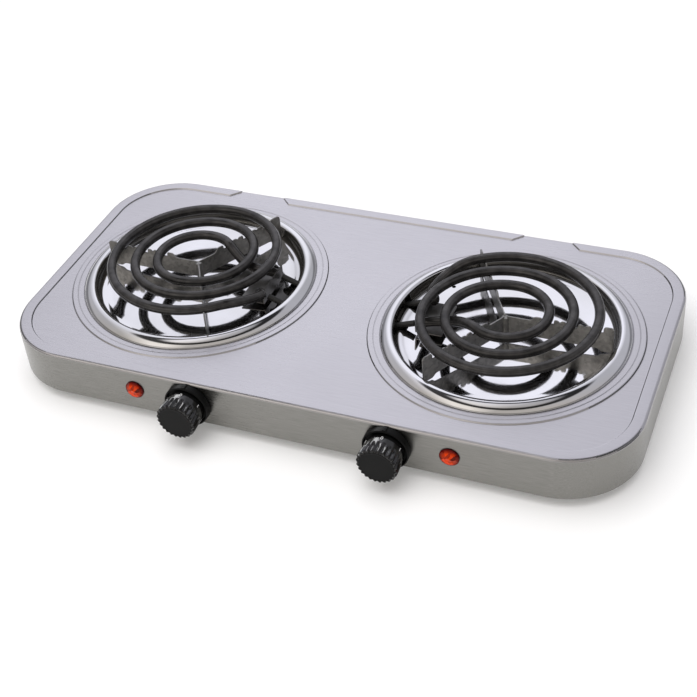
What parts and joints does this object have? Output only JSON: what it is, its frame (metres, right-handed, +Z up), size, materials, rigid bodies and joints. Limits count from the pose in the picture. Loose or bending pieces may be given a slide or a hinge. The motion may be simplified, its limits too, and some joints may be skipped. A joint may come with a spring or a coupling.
{
  "type": "electric hot plate",
  "caption": "Countertop electric hot plate: tilting spiral coils over chrome drip pans in a low pressed-steel housing, with turning control knobs and indicator lamps in front.",
  "frame": {"origin": "centre of the whole object's box in plan, at the height its feet stand on", "axes": "+X along the long side to the user's right, +Y to the rear, +Z up; the knobs point to -Y"},
  "size_m": [0.5, 0.2784, 0.0665],
  "materials": {
    "brushed_steel": "satin brushed stainless steel, pressed",
    "chrome": "bright chrome plate",
    "galvanised": "dull galvanised sheet",
    "zinc": "zinc-plated",
    "sheath": "dark oxidised steel sheath",
    "rubber": "matte black rubber",
    "insulation": "matte black insulation",
    "ceramic": "unglazed cream ceramic",
    "knob_plastic": "black moulded plastic",
    "lens": "clear orange-red plastic"
  },
  "bodies": {
    "housing": {"top_housing": "brushed_steel", "base_plate": "galvanised", "corner_bracket_front_left": "galvanised", "foot_front_left": "rubber", "foot_screw_front_left": "zinc", "foot_nut_front_left": "zinc", "corner_bracket_front_right": "galvanised", "foot_front_right": "rubber", "foot_screw_front_right": "zinc", "foot_nut_front_right": "zinc", "corner_bracket_rear_left": "galvanised", "foot_rear_left": "rubber", "foot_screw_rear_left": "zinc", "foot_nut_rear_left": "zinc", "corner_bracket_rear_right": "galvanised", "foot_rear_right": "rubber", "foot_screw_rear_right": "zinc", "foot_nut_rear_right": "zinc", "drip_pan_left": "chrome", "pivot_bracket_left": "galvanised", "pivot_pin_left": "zinc", "knob_ring_left": "knob_plastic", "thermostat_plate_left": "galvanised", "thermostat_body_left": "ceramic", "lamp_lens_left": "lens", "lamp_clip_left": "zinc", "wire_live_left": "insulation", "wire_load_left": "insulation", "drip_pan_right": "chrome", "pivot_bracket_right": "galvanised", "pivot_pin_right": "zinc", "knob_ring_right": "knob_plastic", "thermostat_plate_right": "galvanised", "thermostat_body_right": "ceramic", "lamp_lens_right": "lens", "lamp_clip_right": "zinc", "wire_live_right": "insulation", "wire_load_right": "insulation", "cord_gland": "rubber", "cord_clamp": "insulation", "terminal_strip": "ceramic", "earth_screw": "zinc"},
    "left_coil": {"coil_left": "sheath", "spider_left": "galvanised", "terminal_plate_left": "galvanised", "terminal_block_left": "ceramic", "terminal_pin_a_left": "insulation", "terminal_pin_b_left": "insulation"},
    "right_coil": {"coil_right": "sheath", "spider_right": "galvanised", "terminal_plate_right": "galvanised", "terminal_block_right": "ceramic", "terminal_pin_a_right": "insulation", "terminal_pin_b_right": "insulation"},
    "left_knob": {"knob_left": "knob_plastic", "control_shaft_left": "zinc"},
    "right_knob": {"knob_right": "knob_plastic", "control_shaft_right": "zinc"}
  },
  "joints": [
    {"name": "left_coil_tilt", "type": "hinge", "parent": "housing", "child": "left_coil", "pos_m": [-0.0335, 0.01025, 0.0365], "axis": [0, 1, 0], "range_deg": [0, 15]},
    {"name": "right_coil_tilt", "type": "hinge", "parent": "housing", "child": "right_coil", "pos_m": [0.0335, 0.01025, 0.0365], "axis": [0, -1, 0], "range_deg": [0, 15]},
    {"name": "left_knob_turn", "type": "hinge", "parent": "housing", "child": "left_knob", "pos_m": [-0.079, -0.11525, 0.0266], "axis": [0, 1, 0], "range_deg": [0, 280]},
    {"name": "right_knob_turn", "type": "hinge", "parent": "housing", "child": "right_knob", "pos_m": [0.079, -0.11525, 0.0266], "axis": [0, 1, 0], "range_deg": [0, 280]}
  ]
}
